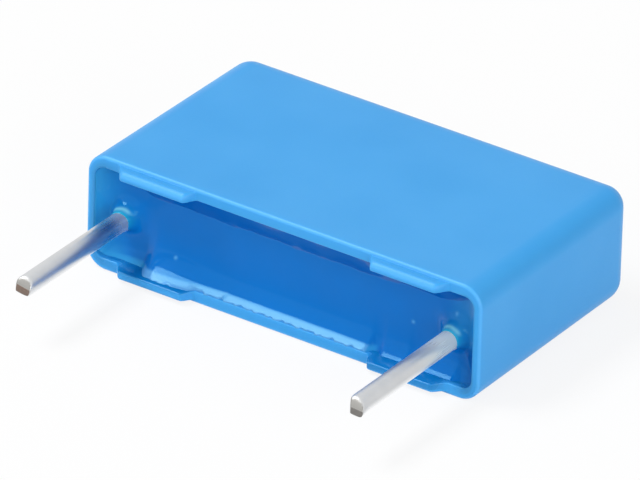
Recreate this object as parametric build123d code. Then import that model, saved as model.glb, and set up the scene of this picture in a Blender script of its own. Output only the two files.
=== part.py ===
from build123d import *
import os
from math import radians, tan

# Box-type film capacitor for 15 mm hole spacing, in millimetres.
# +X runs along the row of leads, the leads leave towards -Y and +Z is the thin direction.
# It lies on one broad wall at Z = 0, with the origin under the middle of its bounding box.

# Case: one moulding, a thin-walled box that is open at the rim and closed at the far end.
case_length = 17.95
case_width = 4.9
case_height = 10.45
end_wall_draft = 0.43
broad_wall_draft = 0.17
inner_draft = 0.9
rim_broad_wall = 0.5
rim_end_wall = 0.36
floor_wall = 0.8
side_radius = 0.88
closed_end_radius = 1.0
rim_rounding = 0.13
wall_trim = 0.02
cavity_radius = 0.45
cavity_floor_radius = 0.35

# Standoffs: two tabs on each broad wall, which hold the case clear of the circuit board.
standoff_height = 0.5
standoff_step = 0.13
standoff_inner_foot = 4.05
standoff_inner_slope = 0.25
standoff_outer_foot = 7.6
standoff_outer_slope = 0.4
standoff_root = 0.3
standoff_foot_radius = 0.12
standoff_tip_radius = 0.15
standoff_nose_radius = 0.2

# Leads: tinned wire, round outside and rolled a little flat inside the resin, cropped to a chisel tip.
lead_pitch = 15.0
lead_diameter = 0.8
lead_free_length = 6.3
lead_round_depth = 0.05
lead_flat_depth = 0.6
lead_inner_depth = 6.6
lead_flat_thickness = 0.6
lead_flat_width = 0.92
lead_flat_corner = 0.2
lead_level_offset = -0.19
tip_face_top = 0.06
tip_face_bottom = -0.24
tip_face_half_width = 0.3
tip_top_slope_length = 0.42
tip_bottom_slope_length = 0.2
tip_side_slope_length = 0.3

# Winding and its sprayed metal ends.
winding_length = 13.6
winding_height = 7.3
winding_thickness = 3.1
winding_depth = 1.55
spray_thickness = 0.5
spray_edge_chamfer = 0.1

# Resin: fills the cavity round the winding and climbs the walls and the leads.
resin_depth = 0.75
resin_wall_line_depth = 0.17
resin_lip = 0.05
meniscus_radius = 0.42
collar_top_depth = 0.0
collar_spread = 0.3
collar_curve_radius = 0.7
collar_lip = 0.05

# Everything below is worked out from the sizes above.
rim_y = (lead_free_length - case_height) / 2
lead_tip_y = rim_y - lead_free_length
lead_x = lead_pitch / 2
lead_radius = lead_diameter / 2
lead_z = case_width / 2 + lead_level_offset
cavity_depth = case_height - floor_wall
flush = (0, 0)


def outer_size(depth):
    """Length and width of the case over its outer walls, this far behind the rim."""
    end_inset = depth * tan(radians(end_wall_draft))
    broad_inset = depth * tan(radians(broad_wall_draft))
    return case_length - 2 * end_inset, case_width - 2 * broad_inset


def walls_at(depth):
    """Thickness of the end walls and the broad walls this far behind the rim: the two drafts make them grow."""
    inner_lean = tan(radians(inner_draft))
    end_growth = depth * (inner_lean - tan(radians(end_wall_draft)))
    broad_growth = depth * (inner_lean - tan(radians(broad_wall_draft)))
    return rim_end_wall + end_growth, rim_broad_wall + broad_growth


def drafted_block(near, far, near_inset, far_inset):
    """Flat-sided block across the case between two depths, with its lower side level.

    Each inset is a pair: from the outer faces of the end walls, and from those of the broad walls.
    """
    plan = []
    side = []
    for depth, (end_inset, broad_inset) in ((near, near_inset), (far, far_inset)):
        length, width = outer_size(depth)
        plan.append((length / 2 - end_inset, rim_y + depth))
        side.append((rim_y + depth, broad_inset, width - broad_inset))
    (near_x, near_y), (far_x, far_y) = plan
    plan_outline = Polyline((-near_x, near_y), (near_x, near_y), (far_x, far_y), (-far_x, far_y), close=True)
    (near_y, near_low, near_high), (far_y, far_low, far_high) = side
    side_outline = Plane.YZ * Polyline(
        (near_y, near_low), (near_y, near_high), (far_y, far_high), (far_y, far_low), close=True
    )
    plan_block = extrude(make_face(plan_outline), case_length, both=True)
    return plan_block & extrude(make_face(side_outline), case_length, both=True)


def round_long_edges(block, radius):
    """Rounds the four edges that run along Y, which lie between those of the two ends."""
    return fillet(block.edges().group_by(Axis.Y)[1], radius)


def cavity_block():
    """The room inside the case, running past the rim so that it cuts the mouth clean."""
    mouth = -standoff_height
    block = drafted_block(mouth, cavity_depth, walls_at(mouth), walls_at(cavity_depth))
    block = round_long_edges(block, cavity_radius)
    return fillet(block.faces().sort_by(Axis.Y)[-1].edges(), cavity_floor_radius)


def nose_waste():
    """What is cut off along X to round the outer edge of a tab's tip."""
    square = Rectangle(standoff_nose_radius, standoff_nose_radius, align=Align.MIN)
    round_bar = Pos(standoff_nose_radius, standoff_nose_radius) * Circle(standoff_nose_radius)
    corner = Pos(rim_y - standoff_height, standoff_step) * (square - round_bar)
    return extrude(Plane.YZ * corner, case_length, both=True)


def standoff():
    """One tab on the lower wall at +X: a low trapezium with sloped ends, rooted in the rim."""
    tip_y = rim_y - standoff_height
    outline = Polyline(
        (standoff_inner_foot - standoff_root, rim_y + standoff_root),
        (standoff_inner_foot - standoff_root, rim_y),
        (standoff_inner_foot, rim_y),
        (standoff_inner_foot + standoff_inner_slope, tip_y),
        (standoff_outer_foot - standoff_outer_slope, tip_y),
        (standoff_outer_foot, rim_y),
        (standoff_outer_foot + standoff_root, rim_y),
        (standoff_outer_foot + standoff_root, rim_y + standoff_root),
        close=True,
    )
    profile = make_face(outline)
    corners = profile.vertices()
    feet = [v for v in corners if v.Y == rim_y and standoff_inner_foot <= v.X <= standoff_outer_foot]
    profile = fillet(feet, standoff_foot_radius)
    profile = fillet(profile.vertices().group_by(Axis.Y)[0], standoff_tip_radius)
    return extrude(Pos(0, 0, standoff_step) * profile, rim_broad_wall - standoff_step) - nose_waste()


def make_case(cavity):
    """Drafted box with rounded edges, hollowed out, with four standoffs on the rim.

    The roundings are made on a slightly larger block, which the flat walls then trim to a crisp line.
    """
    grown = (-wall_trim, -wall_trim)
    box = drafted_block(-wall_trim, case_height + wall_trim, grown, grown)
    box = round_long_edges(box, side_radius)
    box = fillet(box.faces().sort_by(Axis.Y)[-1].edges(), closed_end_radius)
    box = fillet(box.faces().sort_by(Axis.Y)[0].edges(), rim_rounding)
    box &= drafted_block(0, case_height, flush, flush)
    tab = standoff()
    lower_tabs = tab + mirror(tab, Plane.YZ)
    upper_tabs = mirror(lower_tabs, Plane.XY.offset(case_width / 2))
    return box - cavity + lower_tabs + upper_tabs


def across_wire(depth):
    """Plane across the wire, this far behind the rim, facing the closed end."""
    return Plane.XZ.offset(-(rim_y + depth))


def tip_cut(plane, face_edge, wire_side, slope_length):
    """Wedge that slopes one side of the lead's tip, drawn in a plane whose first direction is +Y."""
    wedge = plane * Polyline(
        (lead_tip_y, face_edge), (lead_tip_y + slope_length, wire_side), (lead_tip_y, wire_side), close=True
    )
    return extrude(make_face(wedge), lead_radius, both=True)


def make_lead(side):
    """Wire along Y at one end of the row, side -1 or +1: round, then flat where the resin holds it."""
    round_length = lead_free_length + lead_round_depth
    wire = extrude(across_wire(lead_round_depth) * Circle(lead_radius), round_length)
    flat_outline = RectangleRounded(lead_flat_thickness, lead_flat_width, lead_flat_corner)
    flat_end = across_wire(lead_inner_depth) * flat_outline
    wire += extrude(flat_end, lead_inner_depth - lead_flat_depth)
    wire += loft([across_wire(lead_round_depth) * Circle(lead_radius), across_wire(lead_flat_depth) * flat_outline])
    wire -= tip_cut(Plane.YZ, tip_face_top, lead_radius, tip_top_slope_length)
    wire -= tip_cut(Plane.YZ, tip_face_bottom, -lead_radius, tip_bottom_slope_length)
    wire -= tip_cut(Plane.YX, tip_face_half_width, lead_radius, tip_side_slope_length)
    wire -= tip_cut(Plane.YX, -tip_face_half_width, -lead_radius, tip_side_slope_length)
    return Pos(side * lead_x, 0, lead_z) * wire


def roll_section(x):
    """Outline of the flattened roll across X: straight broad sides and half-round ends."""
    centre_y = rim_y + winding_depth + winding_height / 2
    return Plane.YZ.offset(x) * Pos(centre_y, lead_z) * SlotOverall(winding_height, winding_thickness)


def make_winding():
    """Metallised film rolled up and pressed flat, with its axis along X."""
    return extrude(roll_section(-winding_length / 2), winding_length)


def make_spray(side, lead):
    """Metal sprayed on one end of the winding, grooved where the lead is welded to it."""
    inner_x = side * winding_length / 2
    plate = extrude(roll_section(inner_x), side * spray_thickness)
    outer_face = plate.faces().sort_by(Axis.X)[-1 if side > 0 else 0]
    plate = chamfer(outer_face.edges(), spray_edge_chamfer)
    return plate - lead


def collar(side):
    """Resin drawn up round one lead, in a concave curve from the surface to the wire."""
    top = (lead_radius + collar_lip, rim_y + collar_top_depth)
    foot = (top[0] + collar_spread, rim_y + resin_depth)
    root_y = foot[1] + collar_lip
    outline = Polyline(top, (0, top[1]), (0, root_y), (foot[0], root_y), foot)
    profile = make_face(outline + RadiusArc(foot, top, -collar_curve_radius))
    return Pos(side * lead_x, 0, lead_z) * revolve(profile, Axis.Y)


def make_resin(cavity, inner_pieces):
    """Resin that takes the cavity's shape, with a dished surface, collars and room for the pieces in it."""
    fill = split(cavity, Plane.XZ.offset(-(rim_y + resin_wall_line_depth)), keep=Keep.BOTTOM)
    near_inset, far_inset = [
        (end_wall + resin_lip, broad_wall + resin_lip)
        for end_wall, broad_wall in (walls_at(0), walls_at(resin_depth))
    ]
    dish = round_long_edges(drafted_block(0, resin_depth, near_inset, far_inset), cavity_radius)
    dish = fillet(dish.faces().sort_by(Axis.Y)[-1].edges(), meniscus_radius)
    resin = fill - dish + collar(-1) + collar(1)
    for piece in inner_pieces:
        resin -= piece
    return resin


os.makedirs("parts", exist_ok=True)

cavity = cavity_block()
lead_left = make_lead(-1)
lead_right = make_lead(1)
winding = make_winding()
end_spray_left = make_spray(-1, lead_left)
end_spray_right = make_spray(1, lead_right)
inner_pieces = [winding, end_spray_left, end_spray_right, lead_left, lead_right]

nodes = {
    "case": make_case(cavity),
    "resin": make_resin(cavity, inner_pieces),
    "winding": winding,
    "end_spray_left": end_spray_left,
    "end_spray_right": end_spray_right,
    "lead_left": lead_left,
    "lead_right": lead_right,
}
for name, solid in nodes.items():
    export_step(solid, f"parts/{name}.step")
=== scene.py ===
import math

import bmesh
import bpy
import numpy as np
from mathutils import Matrix, Vector


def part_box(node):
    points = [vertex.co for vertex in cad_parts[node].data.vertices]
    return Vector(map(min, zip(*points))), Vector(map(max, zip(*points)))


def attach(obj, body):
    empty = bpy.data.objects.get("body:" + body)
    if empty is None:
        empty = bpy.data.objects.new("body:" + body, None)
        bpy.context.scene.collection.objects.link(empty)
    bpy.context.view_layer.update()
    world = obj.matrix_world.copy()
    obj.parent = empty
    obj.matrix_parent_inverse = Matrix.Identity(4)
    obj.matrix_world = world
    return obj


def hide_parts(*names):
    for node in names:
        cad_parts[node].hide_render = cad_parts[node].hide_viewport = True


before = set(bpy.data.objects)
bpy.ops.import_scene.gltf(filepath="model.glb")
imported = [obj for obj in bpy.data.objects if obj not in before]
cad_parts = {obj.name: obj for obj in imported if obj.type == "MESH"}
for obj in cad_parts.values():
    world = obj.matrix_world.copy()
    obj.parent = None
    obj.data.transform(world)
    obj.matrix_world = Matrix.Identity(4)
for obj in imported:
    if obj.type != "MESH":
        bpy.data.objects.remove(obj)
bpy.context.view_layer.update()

# ---------------------------------------------------------------- Camera
# A very long lens half a metre away, above and to the right of the open side, so that the
# broad wall, one end wall and the resin between the leads all show. Sizes in this file are
# in millimetres, and MM turns them to metres.

MM = 0.001

camera_data = bpy.data.cameras.new("camera")
camera_data.sensor_width = 36.0
camera_data.lens = 736.7
camera_data.clip_start = 0.05
camera = bpy.data.objects.new("camera", camera_data)
bpy.context.scene.collection.objects.link(camera)
bpy.context.scene.camera = camera
camera_place = Vector((238.288, -358.261, 243.860)) * MM
look = Vector((-0.48291, 0.72696, -0.48826)).normalized()
right = Vector((0.82448, 0.56535, 0.02613))
right = (right - look * right.dot(look)).normalized()
turn = Matrix((right, right.cross(look), -look)).transposed()
camera.matrix_world = Matrix.Translation(camera_place) @ turn.to_4x4()

# ---------------------------------------------------------------- Studio
# A matte white table and a white surround. A bright soft box stands over the part, and two
# larger and softer ones light its open side and its right end. The table keeps the shadow.


def linear(hex_colour):
    """An sRGB hex colour as linear red, green and blue with full alpha."""
    parts = [int(hex_colour[i:i + 2], 16) / 255 for i in (1, 3, 5)]
    return [c / 12.92 if c <= 0.04045 else ((c + 0.055) / 1.055) ** 2.4 for c in parts] + [1.0]


def new_material(name):
    """An empty node material and its tree."""
    material = bpy.data.materials.new(name)
    material.use_nodes = True
    material.node_tree.nodes.clear()
    return material, material.node_tree


def add(tree, kind, links=None, values=None, **settings):
    """Adds one node. Links and values go to inputs by name or number, settings to properties or named inputs.

    In a colour Mix, input 0 is the share of the second colour, 6 and 7 are the colours and output 2 is the result.
    """
    node = tree.nodes.new("ShaderNode" + kind)
    for name, value in settings.items():
        if hasattr(node, name):
            setattr(node, name, value)
        else:
            node.inputs[name.replace("_", " ")].default_value = value
    for socket, value in (values or {}).items():
        node.inputs[socket].default_value = value
    for socket, source in (links or {}).items():
        tree.links.new(node.inputs[socket], source)
    return node


def seen_directly(tree):
    """1 for camera, mirror and see-through rays, and 0 for the light that a surface scatters."""
    path = add(tree, "LightPath")
    camera_or_mirror = add(
        tree, "Math", {0: path.outputs["Is Camera Ray"], 1: path.outputs["Is Glossy Ray"]}, operation="MAXIMUM"
    )
    any_of_them = add(
        tree, "Math", {0: camera_or_mirror.outputs[0], 1: path.outputs["Is Transmission Ray"]}, operation="MAXIMUM"
    )
    return any_of_them.outputs[0]


# Seen directly, the table is mostly a plain white glow, and the rest of it shows the shadow. It
# lies a hair below the part, because two flat faces at one height would flicker through each other.
# The surround looks white, and lights the part at under half of that.
table_white = "#F0F0F0"
table_glow_share = 0.86
table_half_width = 600
table_drop = 0.01
surround_fill = 0.46
white = (1, 1, 1, 1)

table_mesh = bpy.data.meshes.new("table")
table_corners = [
    (x * table_half_width * MM, y * table_half_width * MM, -table_drop * MM)
    for x, y in ((-1, -1), (1, -1), (1, 1), (-1, 1))
]
table_mesh.from_pydata(table_corners, [], [(0, 1, 2, 3)])
table = bpy.data.objects.new("table", table_mesh)
bpy.context.scene.collection.objects.link(table)

table_paint, tree = new_material("matte_white_table")
scatter = add(tree, "BsdfDiffuse", Color=linear(table_white))
glow = add(tree, "Emission", Color=white, Strength=1.0)
share = add(tree, "Math", {0: seen_directly(tree)}, {1: table_glow_share}, operation="MULTIPLY")
mixed = add(tree, "MixShader", {0: share.outputs[0], 1: scatter.outputs[0], 2: glow.outputs[0]})
add(tree, "OutputMaterial", {"Surface": mixed.outputs[0]})
table_mesh.materials.append(table_paint)

world = bpy.data.worlds.new("white_surround")
world.use_nodes = True
bpy.context.scene.world = world
tree = world.node_tree
tree.nodes.clear()
fill = add(tree, "Background", Color=white, Strength=surround_fill)
backdrop = add(tree, "Background", Color=white, Strength=1.0)
mixed = add(tree, "MixShader", {0: seen_directly(tree), 1: fill.outputs[0], 2: backdrop.outputs[0]})
add(tree, "OutputWorld", {"Surface": mixed.outputs[0]})
bpy.context.scene.view_settings.view_transform = "Standard"


def soft_box(name, direction, distance, long_way, size, watts):
    """A rectangular area lamp that faces the part from one direction, with its first side along long_way."""
    lamp = bpy.data.lights.new(name, "AREA")
    lamp.shape = "RECTANGLE"
    lamp.size, lamp.size_y = [side * MM for side in size]
    lamp.energy = watts
    holder = bpy.data.objects.new(name, lamp)
    bpy.context.scene.collection.objects.link(holder)
    towards = Vector(direction).normalized()
    along = Vector(long_way)
    along = (along - towards * along.dot(towards)).normalized()
    turn = Matrix((along, towards.cross(along), towards)).transposed()
    holder.matrix_world = Matrix.Translation(towards * distance * MM) @ turn.to_4x4()


# The key box's shape is what the bright strip along the resin's lower edge mirrors.
soft_box("key_box", (-0.48, -0.22, 0.85), 400, (0, 1, 0), (215, 120), 0.90)
soft_box("front_box", (-0.35, -0.82, 0.46), 400, (1, 0, 0), (400, 400), 0.34)
soft_box("end_box", (0.88, -0.42, 0.22), 400, (0, 1, 0), (300, 300), 0.86)

# ---------------------------------------------------------------- Case
# One injection moulding in blue PBT: a thin-walled box, open on the leads' side and
# drafted so that it leaves its mould. Four low standoffs on the rim keep it off the board.

case_low, case_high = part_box("case")
case_length = (case_high.x - case_low.x) / MM
case_width = case_high.z / MM
standoff_height = 0.5
rim_y = case_low.y / MM + standoff_height
case_height = case_high.y / MM - rim_y
end_lean = math.tan(math.radians(0.43))
broad_lean = math.tan(math.radians(0.17))
inner_lean = math.tan(math.radians(0.9))
end_wall = 0.36
broad_wall = 0.5
floor_wall = 0.8
side_radius = 0.88
closed_end_radius = 1.0
rim_rounding = 0.13
cavity_radius = 0.45
cavity_floor_radius = 0.35
cavity_depth = case_height - floor_wall
least_radius = 0.05

# Standoffs: how far from the middle the foot and the tip of each begin and end, how far it is set
# back from the wall's outer face, and its roundings. Its outer face leans in by a hair.
standoff_feet = (3.92, 7.58)
standoff_tips = (4.32, 7.08)
standoff_step = 0.13
standoff_face_inset = standoff_step + 0.004
standoff_nose_inset = standoff_step + 0.006
lower_nose_radius = 0.13
upper_nose_radius = 0.27
inner_edge_radius = 0.06
inner_edge_lean = 0.04


def ramp(value, start, end):
    """0 up to the start and 1 from the end on, with a smooth rise between. The end may be the lower of the two."""
    t = np.clip((value - start) / (end - start), 0, 1)
    return t * t * (3 - 2 * t)


def standoff_share(x):
    """Share of the full standoff height at each x along the rim."""
    away = np.abs(x)
    return ramp(away, standoff_feet[0], standoff_tips[0]) * ramp(away, standoff_feet[1], standoff_tips[1])


def graded(low, high, coarse, fine, fine_zones):
    """Lines from low to high that are closer together inside the zones."""
    lines = [low]
    while lines[-1] < high:
        near = any(a <= lines[-1] < b for a, b in fine_zones)
        lines.append(lines[-1] + (fine if near else coarse))
    lines[-1] = high
    if lines[-1] - lines[-2] < fine / 2:
        lines.pop(-2)
    return np.array(lines)


# Along the broad sides the points stand closer together at the standoffs' sloping ends.
long_side_end = 7.8
slope_zones = [(-7.75, -7.05), (-4.45, -3.9), (3.9, 4.45), (7.05, 7.75)]
long_side_x = graded(-long_side_end, long_side_end, 0.12, 0.03, slope_zones)
short_side_steps = 26
corner_steps = 14


def rounded_outline(half_x, z_low, z_high, radius):
    """Points round a rectangle with rounded corners, the same number for every size."""
    centre_x = half_x - radius
    low, high = z_low + radius, z_high - radius
    turns = np.radians(np.linspace(0, 90, corner_steps + 1))
    climb = np.linspace(low, high, short_side_steps + 2)[1:-1]

    def corner(x, z, start):
        angles = turns + math.radians(start)
        return np.column_stack([x + radius * np.cos(angles), z + radius * np.sin(angles)])

    return np.vstack([
        np.column_stack([long_side_x, np.full_like(long_side_x, z_low)]),
        corner(centre_x, low, -90),
        np.column_stack([np.full_like(climb, half_x), climb]),
        corner(centre_x, high, 0),
        np.column_stack([long_side_x[::-1], np.full_like(long_side_x, z_high)]),
        corner(-centre_x, high, 90),
        np.column_stack([np.full_like(climb, -half_x), climb[::-1]]),
        corner(-centre_x, low, 180),
    ])


def case_ring(depth, end_inset, low_inset, high_inset, radius, low_lift=0.0, high_lift=0.0):
    """One loop of the case's skin: its depth behind the rim, its inset from each wall's
    outer face, and how high it rises over the standoffs of the lower and the upper wall."""
    half_x = case_length / 2 - depth * end_lean - end_inset
    z_high = case_width - 2 * depth * broad_lean - high_inset
    outline = rounded_outline(half_x, low_inset, z_high, max(radius, least_radius))
    lift = np.where(outline[:, 1] < case_width / 2, low_lift, high_lift)
    y = rim_y + depth - lift * standoff_share(outline[:, 0])
    return np.column_stack([outline[:, 0], y, outline[:, 1]]) * MM


def cavity_ring(depth, round_inset=0.0):
    """One loop of the case's inner side, where the steeper draft makes the walls thicker with depth."""
    end_inset = end_wall + depth * (inner_lean - end_lean) + round_inset
    broad_inset = broad_wall + depth * (inner_lean - broad_lean) + round_inset
    return case_ring(depth, end_inset, broad_inset, broad_inset, cavity_radius - round_inset)


def quarter_turn(steps):
    """Angles from 0 to 90 degrees."""
    return [math.radians(90 * step / steps) for step in range(steps + 1)]


def skin(name, rings):
    """A closed mesh through a list of rings, with a flat cap on the first and the last."""
    count = len(rings[0])
    faces = []
    for row in range(len(rings) - 1):
        for k in range(count):
            after = (k + 1) % count
            faces.append((row * count + k, row * count + after, (row + 1) * count + after, (row + 1) * count + k))
    faces.append(tuple(range(count)))
    faces.append(tuple(range((len(rings) - 1) * count, len(rings) * count)))
    mesh = bpy.data.meshes.new(name)
    mesh.from_pydata(np.vstack(rings).tolist(), [], faces)
    return mesh


def put_in_scene(mesh):
    """Points every face outwards, shades the mesh smooth and puts it in the scene as an object."""
    work = bmesh.new()
    work.from_mesh(mesh)
    bmesh.ops.recalc_face_normals(work, faces=work.faces)
    work.to_mesh(mesh)
    work.free()
    mesh.polygons.foreach_set("use_smooth", [True] * len(mesh.polygons))
    piece = bpy.data.objects.new(mesh.name, mesh)
    bpy.context.scene.collection.objects.link(piece)
    weighted = piece.modifiers.new("flat_faces_stay_flat", "WEIGHTED_NORMAL")
    weighted.keep_sharp = True
    return piece


def note(mesh, label, values):
    """Stores one number for each vertex of a mesh, for its material to read."""
    attribute = mesh.attributes.new(label, "FLOAT", "POINT")
    attribute.data.foreach_set("value", np.asarray(values, dtype=np.float32))


rings = []
films = []
edge_highlights = []


def lay_ring(ring, film=0.0, glow=0.0):
    """Adds one loop to the case's skin, with its resin film (0 to 2) and its painted edge highlight (0 to 1)."""
    rings.append(ring)
    films.append(np.zeros(len(ring)) + film)
    edge_highlights.append(np.zeros(len(ring)) + glow)


# The outer side, from the closed end to the rim.
for angle in reversed(quarter_turn(12)):
    inset = closed_end_radius * (1 - math.cos(angle))
    depth = case_height - closed_end_radius * (1 - math.sin(angle))
    lay_ring(case_ring(depth, inset, inset, inset, side_radius - inset))
for depth in (6.0, 3.0, 1.0, 0.4):
    lay_ring(case_ring(depth, 0, 0, 0, side_radius))
# The rim's rounded outer edge gets a painted highlight, strongest halfway round.
for angle, glow in zip(quarter_turn(6), (0.1, 0.5, 0.9, 1.0, 0.9, 0.6, 0.3)):
    inset = rim_rounding * (1 - math.cos(angle))
    depth = rim_rounding * (1 - math.sin(angle))
    lay_ring(case_ring(depth, inset, inset, inset, side_radius - inset), glow=glow)

# Over the rim and its standoffs: up their outer face, over their nose and their inner edge, and
# down again on the inside. Each row has its depth, then its inset and its rise for the lower wall,
# and the same two for the upper one.
rim_rows = []
nose_radii = (lower_nose_radius, upper_nose_radius)
for share in (0.1, 0.5, 1.0):
    rim_rows.append((0, *[(standoff_face_inset, share * (standoff_height - radius)) for radius in nose_radii]))
for angle in quarter_turn(7)[1:]:
    inward, short_of_tip = 1 - math.cos(angle), 1 - math.sin(angle)
    rim_rows.append((
        0, *[(standoff_nose_inset + radius * inward, standoff_height - radius * short_of_tip) for radius in nose_radii]
    ))
for angle in quarter_turn(4):
    edge = (broad_wall - inner_edge_radius * (1 - math.sin(angle)), standoff_height)
    rim_rows.append((inner_edge_radius * (1 - math.cos(angle)), edge, edge))
for share in (0.75, 0.5, 0.25, 0.0):
    edge = (broad_wall, standoff_height * share)
    rim_rows.append((inner_edge_radius + inner_edge_lean * (1 - share), edge, edge))

# Resin wetted the rim at both ends, widest at the left one, and the lower standoffs, where its
# film is thick. It begins at a share of the way in across the wall, from 0 outside to 1 inside.
# The upper standoffs' noses are painted paler, a painted highlight.
for depth, (low_inset, low_lift), (high_inset, high_lift) in rim_rows:
    across = (high_inset - rim_rounding) / (broad_wall - rim_rounding)
    end_inset = rim_rounding + across * (end_wall - rim_rounding)
    radius = side_radius - rim_rounding - across * (side_radius - rim_rounding - cavity_radius)
    ring = case_ring(depth, end_inset, low_inset, high_inset, radius, low_lift, high_lift)
    x, z = ring[:, 0] / MM, ring[:, 2] / MM
    left_end = ramp(-x, 7.5, 8.1) * ramp(across, 0.05, 0.95)
    right_end = ramp(x, 7.9, 8.4) * ramp(across, 0.45, 0.95)
    film_start = np.where(x > 0, 0.62, 0.8)
    lower_standoffs = 2 * (z < case_width / 2) * standoff_share(x) * ramp(across, film_start, film_start + 0.2)
    upper_nose_painted_highlight = (z > case_width / 2) * standoff_share(x) * math.sin(math.pi * min(1, across / 0.8)) ** 2
    lay_ring(ring, np.maximum.reduce([left_end, right_end, lower_standoffs]), 0.8 * upper_nose_painted_highlight)

# The inner side, down to the floor. It is wetted all over: thickly on the lower wall behind the
# standoffs, and thinly between them.
for depth in (0.25, 0.6, 1.0, 5.0, cavity_depth - cavity_floor_radius):
    ring = cavity_ring(depth)
    away, z = np.abs(ring[:, 0] / MM), ring[:, 2] / MM
    on_lower_wall = ramp(z, 1.2, 0.8) * (depth < 2)
    more_or_less = ramp(away, 3.8, 4.0) * ramp(away, 8.2, 7.8) - 0.8 * ramp(away, 3.9, 3.7)
    lay_ring(ring, 1 + on_lower_wall * more_or_less)
for angle in quarter_turn(4)[1:]:
    depth = cavity_depth - cavity_floor_radius * (1 - math.sin(angle))
    lay_ring(cavity_ring(depth, cavity_floor_radius * (1 - math.cos(angle))), 1.0)

case_mesh = skin("case_moulding", rings)
note(case_mesh, "resin_film", np.concatenate(films))
note(case_mesh, "painted_edge_highlight", np.concatenate(edge_highlights))
case = put_in_scene(case_mesh)

# PBT from a polished steel mould: satin, a little light passes through it, and the surface keeps
# shallow flow waves some millimetres long over a grain of 0.06 mm. The rim's rounded outer edge and
# the upper standoffs' noses are painted paler, a painted highlight.
# Resin that wetted the rim leaves a glossy teal film on it, deeper where it is thick. The gloss is
# tinted blue, so that the white surround doesn't bleach the plastic.
case_blue = "#379DE1"
case_blue_deep = "#3099DE"
painted_edge_highlight_blue = "#50AAEC"
film_teal = "#2888C8"
film_thick_teal = "#087ABE"
case_gloss_tint = "#BFE4FF"
flow_wave_mm = 3.5
flow_wave_height = 0.02
grain_mm = 0.06
grain_height = 0.002

moulded_pbt, tree = new_material("moulded_pbt")
place = add(tree, "TexCoord").outputs["Object"]
film = add(tree, "Attribute", attribute_name="resin_film")
edge_highlight_mask = add(tree, "Attribute", attribute_name="painted_edge_highlight")
flow = add(tree, "TexNoise", {"Vector": place}, Scale=1 / (flow_wave_mm * MM), Detail=2.0, Roughness=0.45)
grain = add(tree, "TexNoise", {"Vector": place}, Scale=1 / (grain_mm * MM), Detail=1.0)
clouding = add(tree, "MapRange", {"Value": flow.outputs[0]}, From_Min=0.35, From_Max=0.65)
bare_colour = add(
    tree, "Mix", {0: clouding.outputs[0]}, {6: linear(case_blue), 7: linear(case_blue_deep)}, data_type="RGBA"
)
painted_edge_colour = add(
    tree, "Mix", {0: edge_highlight_mask.outputs["Fac"], 6: bare_colour.outputs[2]}, {7: linear(painted_edge_highlight_blue)},
    data_type="RGBA",
)
filmed = add(
    tree, "Mix", {0: film.outputs["Fac"], 6: painted_edge_colour.outputs[2]}, {7: linear(film_teal)}, data_type="RGBA"
)
thickness = add(tree, "Math", {0: film.outputs["Fac"]}, {1: 1.0}, operation="SUBTRACT")
body_colour = add(
    tree, "Mix", {0: thickness.outputs[0], 6: filmed.outputs[2]}, {7: linear(film_thick_teal)}, data_type="RGBA"
)
satin = add(tree, "MapRange", {"Value": grain.outputs[0]}, To_Min=0.36, To_Max=0.48)
sheen_of_film = add(tree, "MapRange", {"Value": film.outputs["Fac"], "To Min": satin.outputs[0]}, To_Max=0.26)
waves_bump = add(tree, "Bump", {"Height": flow.outputs[0]}, Distance=flow_wave_height * MM, Strength=0.35)
grain_bump = add(
    tree, "Bump", {"Height": grain.outputs[0], "Normal": waves_bump.outputs[0]},
    Distance=grain_height * MM, Strength=0.35,
)
surface = add(
    tree, "BsdfPrincipled",
    {
        "Base Color": body_colour.outputs[2], "Roughness": sheen_of_film.outputs[0],
        "Normal": grain_bump.outputs[0],
    },
    IOR=1.55, Specular_Tint=linear(case_gloss_tint), Subsurface_Weight=0.12, Subsurface_Scale=0.25 * MM,
    Subsurface_Radius=(0.6, 1.0, 1.6),
)
add(tree, "OutputMaterial", {"Surface": surface.outputs[0]})
case.data.materials.append(moulded_pbt)
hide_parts("case")
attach(case, "root")

# ---------------------------------------------------------------- Potting resin
# Blue epoxy poured in round the winding and cured face up. It wets the plastic and the
# wires, so its edge climbs the walls in a meniscus and rises in a collar at each lead.

lead_low, lead_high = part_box("lead_right")
lead_radius = (lead_high.x - lead_low.x) / 2 / MM
lead_x = (lead_high.x + lead_low.x) / 2 / MM
lead_z = (lead_high.z + lead_low.z) / 2 / MM
resin_depth = 0.75
wall_overlap = 0.006

mouth_half_x = case_length / 2 - end_wall + wall_overlap
mouth_low = broad_wall - wall_overlap
mouth_high = case_width - broad_wall + wall_overlap
mouth_middle = (mouth_low + mouth_high) / 2
mouth_half_z = (mouth_high - mouth_low) / 2

# The open surface is a grid over the mouth, finer at the leads, the lower wall and the bubbles.
near_leads = [(-mouth_half_x, -lead_x + 0.95), (lead_x - 0.95, mouth_half_x)]
near_bubbles = [(-5.5, -5.15), (-2.85, -2.5), (5.35, 5.65)]
near_lower_wall = (0, mouth_low + 0.95)
level_with_leads = (lead_z - 0.7, lead_z + 1.35)
grid_x = graded(-mouth_half_x, mouth_half_x, 0.05, 0.028, near_leads + near_bubbles)
grid_z = graded(mouth_low, mouth_high, 0.045, 0.022, [near_lower_wall, level_with_leads])
square_x, square_z = [line.ravel() for line in np.meshgrid(grid_x, grid_z, indexing="ij")]


def corner_reach(x, z):
    """How far a point lies past the centres of the mouth's rounded corners, along each axis."""
    return np.abs(x) - (mouth_half_x - cavity_radius), np.abs(z - mouth_middle) - (mouth_half_z - cavity_radius)


def waves(along, *parts):
    """A sum of sine waves. Each part has its height, how fast it swings in radians a unit, and its start."""
    return sum(height * np.sin(swing * along + start) for height, swing, start in parts)


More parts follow.
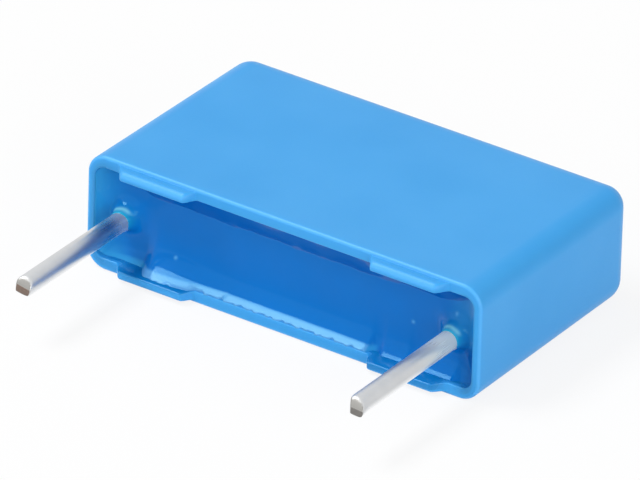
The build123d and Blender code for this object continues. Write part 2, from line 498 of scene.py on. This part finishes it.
# Points near the grid's square corners move in, so that its edge follows the mouth's round ones.
past_x, past_z = corner_reach(square_x, square_z)
in_corner = (past_x > 0) & (past_z > 0)
span = np.hypot(past_x, past_z)
scale = np.where(in_corner, np.maximum(past_x, past_z) / np.where(span > 0, span, 1), 1)
moved_x = np.sign(square_x) * (mouth_half_x - cavity_radius + past_x * scale)
moved_z = mouth_middle + np.sign(square_z - mouth_middle) * (mouth_half_z - cavity_radius + past_z * scale)
x = np.where(in_corner, moved_x, square_x)
z = np.where(in_corner, moved_z, square_z)
past_x, past_z = corner_reach(x, z)
outside = np.hypot(np.maximum(past_x, 0), np.maximum(past_z, 0))
from_wall = np.maximum(cavity_radius - outside - np.minimum(np.maximum(past_x, past_z), 0), 0)
from_left, from_right, from_low = x + mouth_half_x, mouth_half_x - x, z - mouth_low
on_lower_half = ramp(z, mouth_middle, mouth_middle - 1.5)

# How high the resin climbed each wall, and how far it reaches out from it. On the lower wall it
# varies along x: highest behind the left standoff, level between the two standoffs, and in two
# short stretches behind the right one. Each pair is a place along x and the climb there.
lower_climb = (
    (-8.6, 0.50), (-7.6, 0.40), (-6.6, 0.45), (-6.2, 1.00), (-5.6, 1.06), (-5.0, 1.04), (-4.3, 0.93),
    (-3.7, 0.82), (-3.1, 0.745), (3.75, 0.745), (3.95, 0.42), (4.2, 0.36), (4.4, 0.58), (5.4, 0.57),
    (5.6, 0.36), (6.1, 0.36), (6.3, 0.60), (7.6, 0.57), (7.8, 0.40), (8.6, 0.36),
)
left_climb, left_reach = 0.73, 0.36
right_climb, right_reach = 0.5, 0.3

# The climb's steps are rounded off over 0.13 mm to each side.
blur_steps = 13
blur = np.hanning(2 * blur_steps + 1)
fine_x = np.linspace(-8.6, 8.6, 1721)
fine_climb = np.pad(np.interp(fine_x, *zip(*lower_climb)), blur_steps, mode="edge")
fine_climb = np.convolve(fine_climb, blur / blur.sum(), mode="valid")
climb_here = np.interp(x, fine_x, fine_climb)
lower_reach = 0.41 + 0.10 * ramp(-x, 3.0, 5.2) * ramp(x, -6.6, -6.0)
lower = climb_here * np.exp(-from_low / lower_reach)
left = left_climb * np.exp(-from_left / left_reach)
right_side = right_climb * np.exp(-from_right / right_reach)

# Along the upper wall the cured skin pulled back to a crease and leans up from it to the wall.
# Each pair is a place along x and the crease's distance from the wall there.
crease_places = ((3.5, 0.99), (4.9, 0.88), (6.0, 0.90), (6.7, 0.95), (7.3, 0.78), (7.9, 0.56), (8.6, 0.40))
crease_lean = math.tan(math.radians(25))
crease_softness = 0.006
crease_from_wall = np.interp(x, *zip(*crease_places)) - 0.5 * ramp(-x, 6.3, 7.5)
crease_waves = waves(x, (0.03, 1.7, 0.5), (0.02, 4.3, 1.1), (0.01, 11.0, 0))
past_crease = crease_from_wall - (mouth_high - z)
past_crease = (past_crease + crease_waves * np.exp(-np.maximum(past_crease, 0) / 0.12)) * crease_lean
upper = crease_softness * np.logaddexp(0, past_crease / crease_softness)

# The collars climb the wires unevenly, and higher and wider on their upper side.
collar_climb = 0.62
collar_reach = 0.14
from_wire = np.minimum(np.hypot(x - lead_x, z - lead_z), np.hypot(x + lead_x, z - lead_z)) - lead_radius
around = np.arctan2(z - lead_z, np.abs(x) - lead_x)
upper_side = (0.5 + 0.5 * np.sin(around + 0.35)) ** 2
collar_foot = collar_reach * (1 + waves(around, (0.10, 3, 0.6), (0.06, 5, 2.0))) * (1 + 0.9 * upper_side)
collar = collar_climb * (1 + 0.25 * upper_side) * np.exp(-np.maximum(from_wire, -0.03) / collar_foot)

# Where two of them meet, they join in a smooth fillet. The open surface isn't quite flat either.
fillet_power = 2.6
climbs = (lower, left, right_side, upper, collar)
climb = sum(part ** fillet_power for part in climbs) ** (1 / fillet_power)
ripple = 0.004 * np.sin(x * 1.3 + 0.7) + 0.003 * np.sin(x * 2.9 + z * 2.1)

# The climb stopped short of the rim, in a wavy line on the lower wall. It came higher at the left
# end, and ran up the inner face of the lower left standoff.
shore_waves = waves(x, (0.020, 6.1, 0.4), (0.028, 13.7, 1.9), (0.016, 22.3, 0.7))
shore_depth = 0.065 + shore_waves * on_lower_half
left_standoff_run = 0.34 * standoff_share(x) * (x < 0) * on_lower_half
left_end_run = 0.06 * ramp(-x, 7.2, 8.0)
climb = np.minimum(climb, resin_depth - shore_depth + left_standoff_run + left_end_run)

# Small bubbles that stopped under the skin: place along X, place along Z.
bubbles = ((-5.2, 1.30), (-2.69, 0.62), (5.49, 2.08), (7.48, 3.15))
bubble_height, bubble_radius = 0.02, 0.05
bubble_shape = np.zeros(len(x))
for bubble_x, bubble_z in bubbles:
    bubble_shape += np.exp(-((x - bubble_x) ** 2 + (z - bubble_z) ** 2) / (2 * bubble_radius ** 2))
climb += bubble_height * bubble_shape
y = rim_y + resin_depth - climb + ripple

columns, rows = len(grid_z), len(grid_x)
points = np.column_stack([x, y, z])
faces = []
for i in range(rows - 1):
    for j in range(columns - 1):
        a = i * columns + j
        faces.append((a, a + 1, a + columns + 1, a + columns))
edge = (
    [i * columns for i in range(rows)]
    + [(rows - 1) * columns + j for j in range(1, columns)]
    + [i * columns + columns - 1 for i in range(rows - 2, -1, -1)]
    + [j for j in range(columns - 2, 0, -1)]
)

# The hidden sides go down along the drafted walls, and in at the cavity's rounded floor.
floor_gap = 0.02
wall_loops = [edge]
blocks = [points]
total = len(points)
for depth, into_floor in (
    (2.0, 0), (6.0, 0), (cavity_depth - cavity_floor_radius, 0), (cavity_depth - floor_gap, cavity_floor_radius)
):
    loop = points[edge].copy()
    loop[:, 0] *= (mouth_half_x - depth * inner_lean - into_floor) / mouth_half_x
    loop[:, 1] = rim_y + depth
    low = mouth_low + depth * (inner_lean - broad_lean) + into_floor
    high = mouth_high - depth * (inner_lean + broad_lean) - into_floor
    loop[:, 2] = low + (loop[:, 2] - mouth_low) * (high - low) / (mouth_high - mouth_low)
    blocks.append(loop)
    wall_loops.append(list(range(total, total + len(edge))))
    total += len(edge)
for upper_loop, lower_loop in zip(wall_loops, wall_loops[1:]):
    for k in range(len(edge)):
        after = (k + 1) % len(edge)
        faces.append((upper_loop[k], upper_loop[after], lower_loop[after], lower_loop[k]))
faces.append(tuple(wall_loops[-1]))
resin_mesh = bpy.data.meshes.new("potting_resin")
resin_mesh.from_pydata((np.vstack(blocks) * MM).tolist(), [], faces)


def note_on_surface(label, values):
    """Notes numbers for the resin's open surface, and zero for its hidden sides."""
    note(resin_mesh, label, np.pad(values, (0, total - len(points))))


# A painted highlight, paler blue, lies where the skin climbed highest, close to the lower wall, on the
# strip that mirrors the key box.
painted_strip_highlight = ramp(from_low, 0.24, 0.14) * ramp(climb_here, 0.62, 0.73)

# A painted highlight runs round each collar's upper side. The wire shows through the collar's foot
# as turquoise, and a painted glow makes that stronger on the upper side.
painted_collar_highlight = 0.75 * np.exp(-((from_wire - 0.10) / 0.035) ** 2) * ramp(np.sin(around + 0.1), 0.5, 0.9)
wire_tint_and_painted_glow = np.exp(-np.maximum(from_wire, 0) / 0.10) * (0.55 + 0.45 * np.sin(around))

# Painted shade: it is painted darkest where the skin pulled back from the upper wall, and in a wedge
# beside the right lead, towards the lower corner, as a painted shadow of the lead.
painted_shade = ramp(past_crease, 0, crease_lean * 0.03)
painted_lead_shadow = ramp(z + 1.45 * (x - 7.55), 2.0, 2.15) * ramp(z, 1.95, 1.80) * ramp(x, 7.5, 7.65)

# It is thin, and so paler, at both ends. The narrow paler line along the lower wall is a painted
# highlight on the strip.
left_shore = np.exp(-from_wall / 0.35) * ramp(from_left, 1.4, 0.6) + 0.3 * np.exp(-from_left / 0.9)
right_shore = 0.9 * np.exp(-from_right / 1.1) * ramp(z, 1.5, 2.2) * ramp(from_right, 1.8, 1.0)
right_shore *= 1 - painted_shade
lower_strip_painted_highlight = ramp(from_low, 0.26, 0.10) * ramp(x, 4.2, 3.9)

# Over each bubble the colour is painted paler, a painted glint.
note_on_surface("bubble", bubble_shape)
note_on_surface("painted_strip_highlight_zone", painted_strip_highlight)
note_on_surface("painted_collar_highlight", painted_collar_highlight)
note_on_surface("thin_film_and_painted_highlight", np.clip(np.maximum.reduce([left_shore, right_shore, lower_strip_painted_highlight]), 0, 1))
note_on_surface("wire_tint_and_painted_glow", wire_tint_and_painted_glow)
note_on_surface("painted_shade", np.maximum(painted_shade, 0.9 * painted_lead_shadow))
resin = put_in_scene(resin_mesh)

# Cured blue epoxy: glossy and deep, with faint clouds a few millimetres wide. It is paler where it
# is a thin film at the ends, and turquoise where the tinned wire shows through the collar's foot.
# Painted light on it: painted highlights along the lower wall, round each collar's upper side and on
# each bubble, a painted glow on the collars' upper side, and painted shade at the upper crease and
# beside the right lead. The gloss is tinted, so that the white surround doesn't bleach the blue.
resin_deep = "#006EC4"
resin_deep_cloud = "#006ABE"
resin_painted_shade_blue = "#005AAE"
resin_thin_and_highlight_blue = "#2A92D2"
strip_highlight_blue = "#589CD6"
collar_tint_and_glow_blue = "#22A8C8"
collar_highlight_pale = "#88D4E4"
painted_bubble_glint = "#4C9CDA"
resin_gloss_tint = "#68A9B8"
cloud_mm = 2.2
cloud_height = 0.008

blue_epoxy, tree = new_material("cured_blue_epoxy")
place = add(tree, "TexCoord").outputs["Object"]
cloud = add(tree, "TexNoise", {"Vector": place}, Scale=1 / (cloud_mm * MM), Detail=2.0)
body = add(
    tree, "Mix", {0: cloud.outputs[0]}, {6: linear(resin_deep), 7: linear(resin_deep_cloud)}, data_type="RGBA"
)
for label, hex_colour in (
    ("painted_shade", resin_painted_shade_blue), ("thin_film_and_painted_highlight", resin_thin_and_highlight_blue), ("painted_strip_highlight_zone", strip_highlight_blue),
    ("wire_tint_and_painted_glow", collar_tint_and_glow_blue), ("painted_collar_highlight", collar_highlight_pale), ("bubble", painted_bubble_glint),
):
    zone = add(tree, "Attribute", attribute_name=label)
    body = add(tree, "Mix", {0: zone.outputs["Fac"], 6: body.outputs[2]}, {7: linear(hex_colour)}, data_type="RGBA")
cloud_bump = add(tree, "Bump", {"Height": cloud.outputs[0]}, Distance=cloud_height * MM, Strength=0.3)
surface = add(
    tree, "BsdfPrincipled",
    {"Base Color": body.outputs[2], "Normal": cloud_bump.outputs[0]},
    Roughness=0.07, IOR=1.5, Specular_Tint=linear(resin_gloss_tint),
)
add(tree, "OutputMaterial", {"Surface": surface.outputs[0]})
resin.data.materials.append(blue_epoxy)
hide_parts("resin")
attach(resin, "root")

# ---------------------------------------------------------------- Leads
# Tinned copper wire, straight and round, pressed a little flat where the resin grips
# it and welded to the winding's ends. Each free end was cropped to a blunt chisel.

lead_tip_y = lead_low.y / MM
lead_inner_y = lead_high.y / MM
flat_start_y = rim_y + 0.05
flat_full_y = rim_y + 0.6
flat_half_thick = 0.3
flat_half_wide = 0.46
flat_squareness = 4.0
wire_sides = 64

# From the tip: how far the cutter spread the wire, how sharp the edges between its flats are, how
# thick the sheared face is, the loops in the cropped part, and where the plain round wire begins.
spread_length = 0.8
crop_softness = 0.05
tip_face_depth = 0.02
crop_steps = (0.03, 0.06, 0.1, 0.15, 0.2, 0.26, 0.32, 0.38, 0.45, 0.52, 0.6, 0.7, 0.85, 1.0)
round_wire_start = 1.3

# What differs between the two leads: how far the tip is spread, how densely and over what length
# resin washed the wire before the rim, which on the right lead is also painted light on its root,
# how much tin was drawn over the sheared face, and the flats.
# Each flat has its direction round the wire in degrees, its distance from the axis, and its slope.
leads = {
    "lead_left": dict(
        side=-1, spread=0.0, wash_and_painted_light_share=0.4, wash_length=0.9, tin_on_face=0.1,
        flats=((80, 0.08, 1.5), (-97, 0.22, 1.0), (172, 0.25, 0.8), (-8, 0.38, 0.4)),
    ),
    "lead_right": dict(
        side=1, spread=0.13, wash_and_painted_light_share=1.0, wash_length=3.0, tin_on_face=0.85,
        flats=((86, 0.06, 1.5), (-97, 0.2, 1.0), (176, 0.05, 0.75), (-4, 0.5, 0.3)),
    ),
}


def wire_ring(y, half_x, half_z, squareness=2.0):
    """A loop round the wire: a circle, or a squarer oval where it is pressed flat."""
    angles = np.linspace(0, 2 * math.pi, wire_sides, endpoint=False)
    c, s = np.cos(angles), np.sin(angles)
    x = half_x * np.sign(c) * np.abs(c) ** (2 / squareness)
    z = half_z * np.sign(s) * np.abs(s) ** (2 / squareness)
    return np.column_stack([x, np.full(wire_sides, y), z])


def cropped(from_tip, flats, spread):
    """A loop near the tip, pressed inside the cutter's sloping flats and spread to one side by it.
    The second result says how much of a flat each point lies on."""
    ring = wire_ring(lead_tip_y + from_tip, lead_radius, lead_radius)
    ring[:, 0] += spread * np.maximum(ring[:, 0] / lead_radius, 0) * max(0, 1 - from_tip / spread_length) ** 2
    cut = np.zeros(wire_sides)
    for direction, face_edge, slope in flats:
        normal = np.array([math.cos(math.radians(direction)), math.sin(math.radians(direction))])
        over = (ring[:, [0, 2]] @ normal - face_edge - from_tip * slope) / crop_softness
        ring[:, [0, 2]] -= crop_softness * np.logaddexp(0, over)[:, None] * normal
        cut = np.maximum(cut, crop_softness * np.logaddexp(0, over))
    return ring, ramp(cut, 0.015, 0.065)


wires = []
for node, own in leads.items():
    blunt, smear = cropped(0.0, own["flats"], own["spread"])
    centre = (blunt.max(axis=0) + blunt.min(axis=0)) / 2
    rings = [centre + (blunt - centre) * share for share in (0.4, 0.8, 0.93)] + [blunt + [0, 0.012, 0]]
    smears = [smear] * len(rings)
    for from_tip in crop_steps:
        ring, smear = cropped(from_tip, own["flats"], own["spread"])
        rings.append(ring)
        smears.append(smear)
    for y in np.linspace(lead_tip_y + round_wire_start, flat_start_y, 16):
        rings.append(wire_ring(y, lead_radius, lead_radius))
    for t in (0.25, 0.5, 0.75, 1.0):
        y = flat_start_y + (flat_full_y - flat_start_y) * t
        half_x = lead_radius + (flat_half_thick - lead_radius) * t
        half_z = lead_radius + (flat_half_wide - lead_radius) * t
        rings.append(wire_ring(y, half_x, half_z, 2 + (flat_squareness - 2) * t))
    rings.append(wire_ring(lead_inner_y, flat_half_thick, flat_half_wide, flat_squareness))
    smears += [np.zeros(wire_sides)] * (len(rings) - len(smears))
    wire_mesh = skin(node + "_wire", [(ring + [own["side"] * lead_x, 0, lead_z]) * MM for ring in rings])

    along = np.concatenate([ring[:, 1] for ring in rings])
    note(wire_mesh, "resin_wash_and_painted_light", own["wash_and_painted_light_share"] * ramp(along, rim_y - own["wash_length"], rim_y))
    note(wire_mesh, "scuffed", ramp(along, rim_y, rim_y - 5.5))
    note(wire_mesh, "smeared", np.concatenate(smears))
    note(wire_mesh, "tin_on_face", np.full(len(along), own["tin_on_face"]))
    wire = put_in_scene(wire_mesh)
    wires.append(wire)
    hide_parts(node)
    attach(wire, "root")

# Hot-tinned copper: a bright grey metal with fine lines drawn along the wire, 0.05 mm apart, which
# is coarser than the real ones, so that they show. Towards the tip it is scuffed, and so less
# glossy. The underside is painted brighter, a painted reflection of the white table. The tin is
# smeared grey on the cutter's flats, and under a dull pale film, less like metal, where resin washed
# over it before the rim; on the right lead that film is painted denser and longer, as painted light
# on its root.
painted_underside_bright = "#F2F3F3"
tin_grey = "#D2D3D4"
tin_shade = "#C6C8CA"
smeared_tin = "#8C8B88"
washed_tin_and_painted_light = "#C6D3D6"
drawn_line_mm = 0.05
drawn_line_depth = 0.002
drawn_line_stretch = 25
mottle_mm = 0.5
washed_metallic = 0.1
scuffed_roughness = 0.18

tinned_copper, tree = new_material("hot_tinned_copper")
place = add(tree, "TexCoord").outputs["Object"]
stretched = add(tree, "Mapping", {"Vector": place}, {"Scale": (1.0, 1 / drawn_line_stretch, 1.0)})
lines = add(tree, "TexNoise", {"Vector": stretched.outputs[0]}, Scale=1 / (drawn_line_mm * MM), Detail=2.0)
mottle = add(tree, "TexNoise", {"Vector": place}, Scale=1 / (mottle_mm * MM), Detail=3.0)
mottled = add(tree, "Mix", {0: mottle.outputs[0]}, {6: linear(tin_grey), 7: linear(tin_shade)}, data_type="RGBA")
facing = add(tree, "SeparateXYZ", {"Vector": add(tree, "NewGeometry").outputs["Normal"]})
painted_underside_mask = add(tree, "MapRange", {"Value": facing.outputs["Z"]}, From_Min=-0.35, From_Max=0.15)
tin = add(tree, "Mix", {0: painted_underside_mask.outputs[0], 7: mottled.outputs[2]}, {6: linear(painted_underside_bright)}, data_type="RGBA")
smear = add(tree, "Attribute", attribute_name="smeared")
smeared = add(tree, "Mix", {0: smear.outputs["Fac"], 6: tin.outputs[2]}, {7: linear(smeared_tin)}, data_type="RGBA")
wash = add(tree, "Attribute", attribute_name="resin_wash_and_painted_light")
washed = add(
    tree, "Mix", {0: wash.outputs["Fac"], 6: smeared.outputs[2]}, {7: linear(washed_tin_and_painted_light)}, data_type="RGBA"
)
bare_metal = add(tree, "MapRange", {"Value": wash.outputs["Fac"]}, To_Min=1.0, To_Max=washed_metallic)
scuffs = add(tree, "Attribute", attribute_name="scuffed")
polish = add(tree, "MapRange", {"Value": lines.outputs[0]}, To_Min=0.22, To_Max=0.30)
rough = add(
    tree, "Math", {0: scuffs.outputs["Fac"], 2: polish.outputs[0]}, {1: scuffed_roughness},
    operation="MULTIPLY_ADD",
)
line_bump = add(tree, "Bump", {"Height": lines.outputs[0]}, Distance=drawn_line_depth * MM, Strength=0.3)
metal = add(
    tree, "BsdfPrincipled",
    {
        "Base Color": washed.outputs[2], "Roughness": rough.outputs[0], "Metallic": bare_metal.outputs[0],
        "Normal": line_bump.outputs[0],
    },
)
add(tree, "OutputMaterial", {"Surface": metal.outputs[0]})

# Sheared copper: dull brown with a torn grain of 0.06 mm, under the tin that the cutter drew over it.
copper_brown = "#8A7468"
copper_dark = "#6B5A4E"
drawn_over_tin = "#767674"
tear_mm = 0.06
tear_depth = 0.01

sheared_end, tree = new_material("sheared_copper_end")
place = add(tree, "TexCoord").outputs["Object"]
tears = add(tree, "TexNoise", {"Vector": place}, Scale=1 / (tear_mm * MM), Detail=3.0)
copper = add(tree, "Mix", {0: tears.outputs[0]}, {6: linear(copper_brown), 7: linear(copper_dark)}, data_type="RGBA")
tinned = add(tree, "Attribute", attribute_name="tin_on_face")
face_colour = add(
    tree, "Mix", {0: tinned.outputs["Fac"], 6: copper.outputs[2]}, {7: linear(drawn_over_tin)}, data_type="RGBA"
)
tear_bump = add(tree, "Bump", {"Height": tears.outputs[0]}, Distance=tear_depth * MM, Strength=0.6)
metal = add(
    tree, "BsdfPrincipled", {"Base Color": face_colour.outputs[2], "Normal": tear_bump.outputs[0]},
    Metallic=0.4, Roughness=0.55,
)
add(tree, "OutputMaterial", {"Surface": metal.outputs[0]})

for wire in wires:
    wire.data.materials.append(tinned_copper)
    wire.data.materials.append(sheared_end)
    for face in wire.data.polygons:
        if max(wire.data.vertices[v].co.y for v in face.vertices) < (lead_tip_y + tip_face_depth) * MM:
            face.material_index = 1

# ---------------------------------------------------------------- Winding
# Two metallised plastic films rolled up and pressed flat. It lies deep in the resin,
# so only a cut-open part would show it.

# Metallised film: a smooth grey metal, mottled where the turns lie more or less tightly.
film_pale = "#C9CCD1"
film_dark = "#A9ADB5"
film_mottle_mm = 0.3

metallised_film, tree = new_material("metallised_film")
place = add(tree, "TexCoord").outputs["Object"]
mottle = add(tree, "TexNoise", {"Vector": place}, Scale=1 / (film_mottle_mm * MM), Detail=3.0)
colour = add(tree, "Mix", {0: mottle.outputs[0]}, {6: linear(film_pale), 7: linear(film_dark)}, data_type="RGBA")
film_surface = add(tree, "BsdfPrincipled", {"Base Color": colour.outputs[2]}, Metallic=0.8, Roughness=0.3)
add(tree, "OutputMaterial", {"Surface": film_surface.outputs[0]})
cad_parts["winding"].data.materials.clear()
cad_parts["winding"].data.materials.append(metallised_film)

# ---------------------------------------------------------------- End sprays
# Zinc sprayed hot on both ends of the winding, rough and dull, so that each lead can be
# welded to every turn of the film.

# Sprayed zinc: a dull grey crust of droplets of about 0.08 mm.
zinc_pale = "#8F9194"
zinc_dark = "#6F7174"
droplet_mm = 0.08
droplet_height = 0.03

sprayed_zinc, tree = new_material("flame_sprayed_zinc")
place = add(tree, "TexCoord").outputs["Object"]
droplets = add(tree, "TexNoise", {"Vector": place}, Scale=1 / (droplet_mm * MM), Detail=4.0)
colour = add(tree, "Mix", {0: droplets.outputs[0]}, {6: linear(zinc_pale), 7: linear(zinc_dark)}, data_type="RGBA")
droplet_bump = add(tree, "Bump", {"Height": droplets.outputs[0]}, Distance=droplet_height * MM, Strength=0.8)
zinc = add(
    tree, "BsdfPrincipled", {"Base Color": colour.outputs[2], "Normal": droplet_bump.outputs[0]},
    Metallic=0.9, Roughness=0.65,
)
add(tree, "OutputMaterial", {"Surface": zinc.outputs[0]})
for node in ("end_spray_left", "end_spray_right"):
    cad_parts[node].data.materials.clear()
    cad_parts[node].data.materials.append(sprayed_zinc)
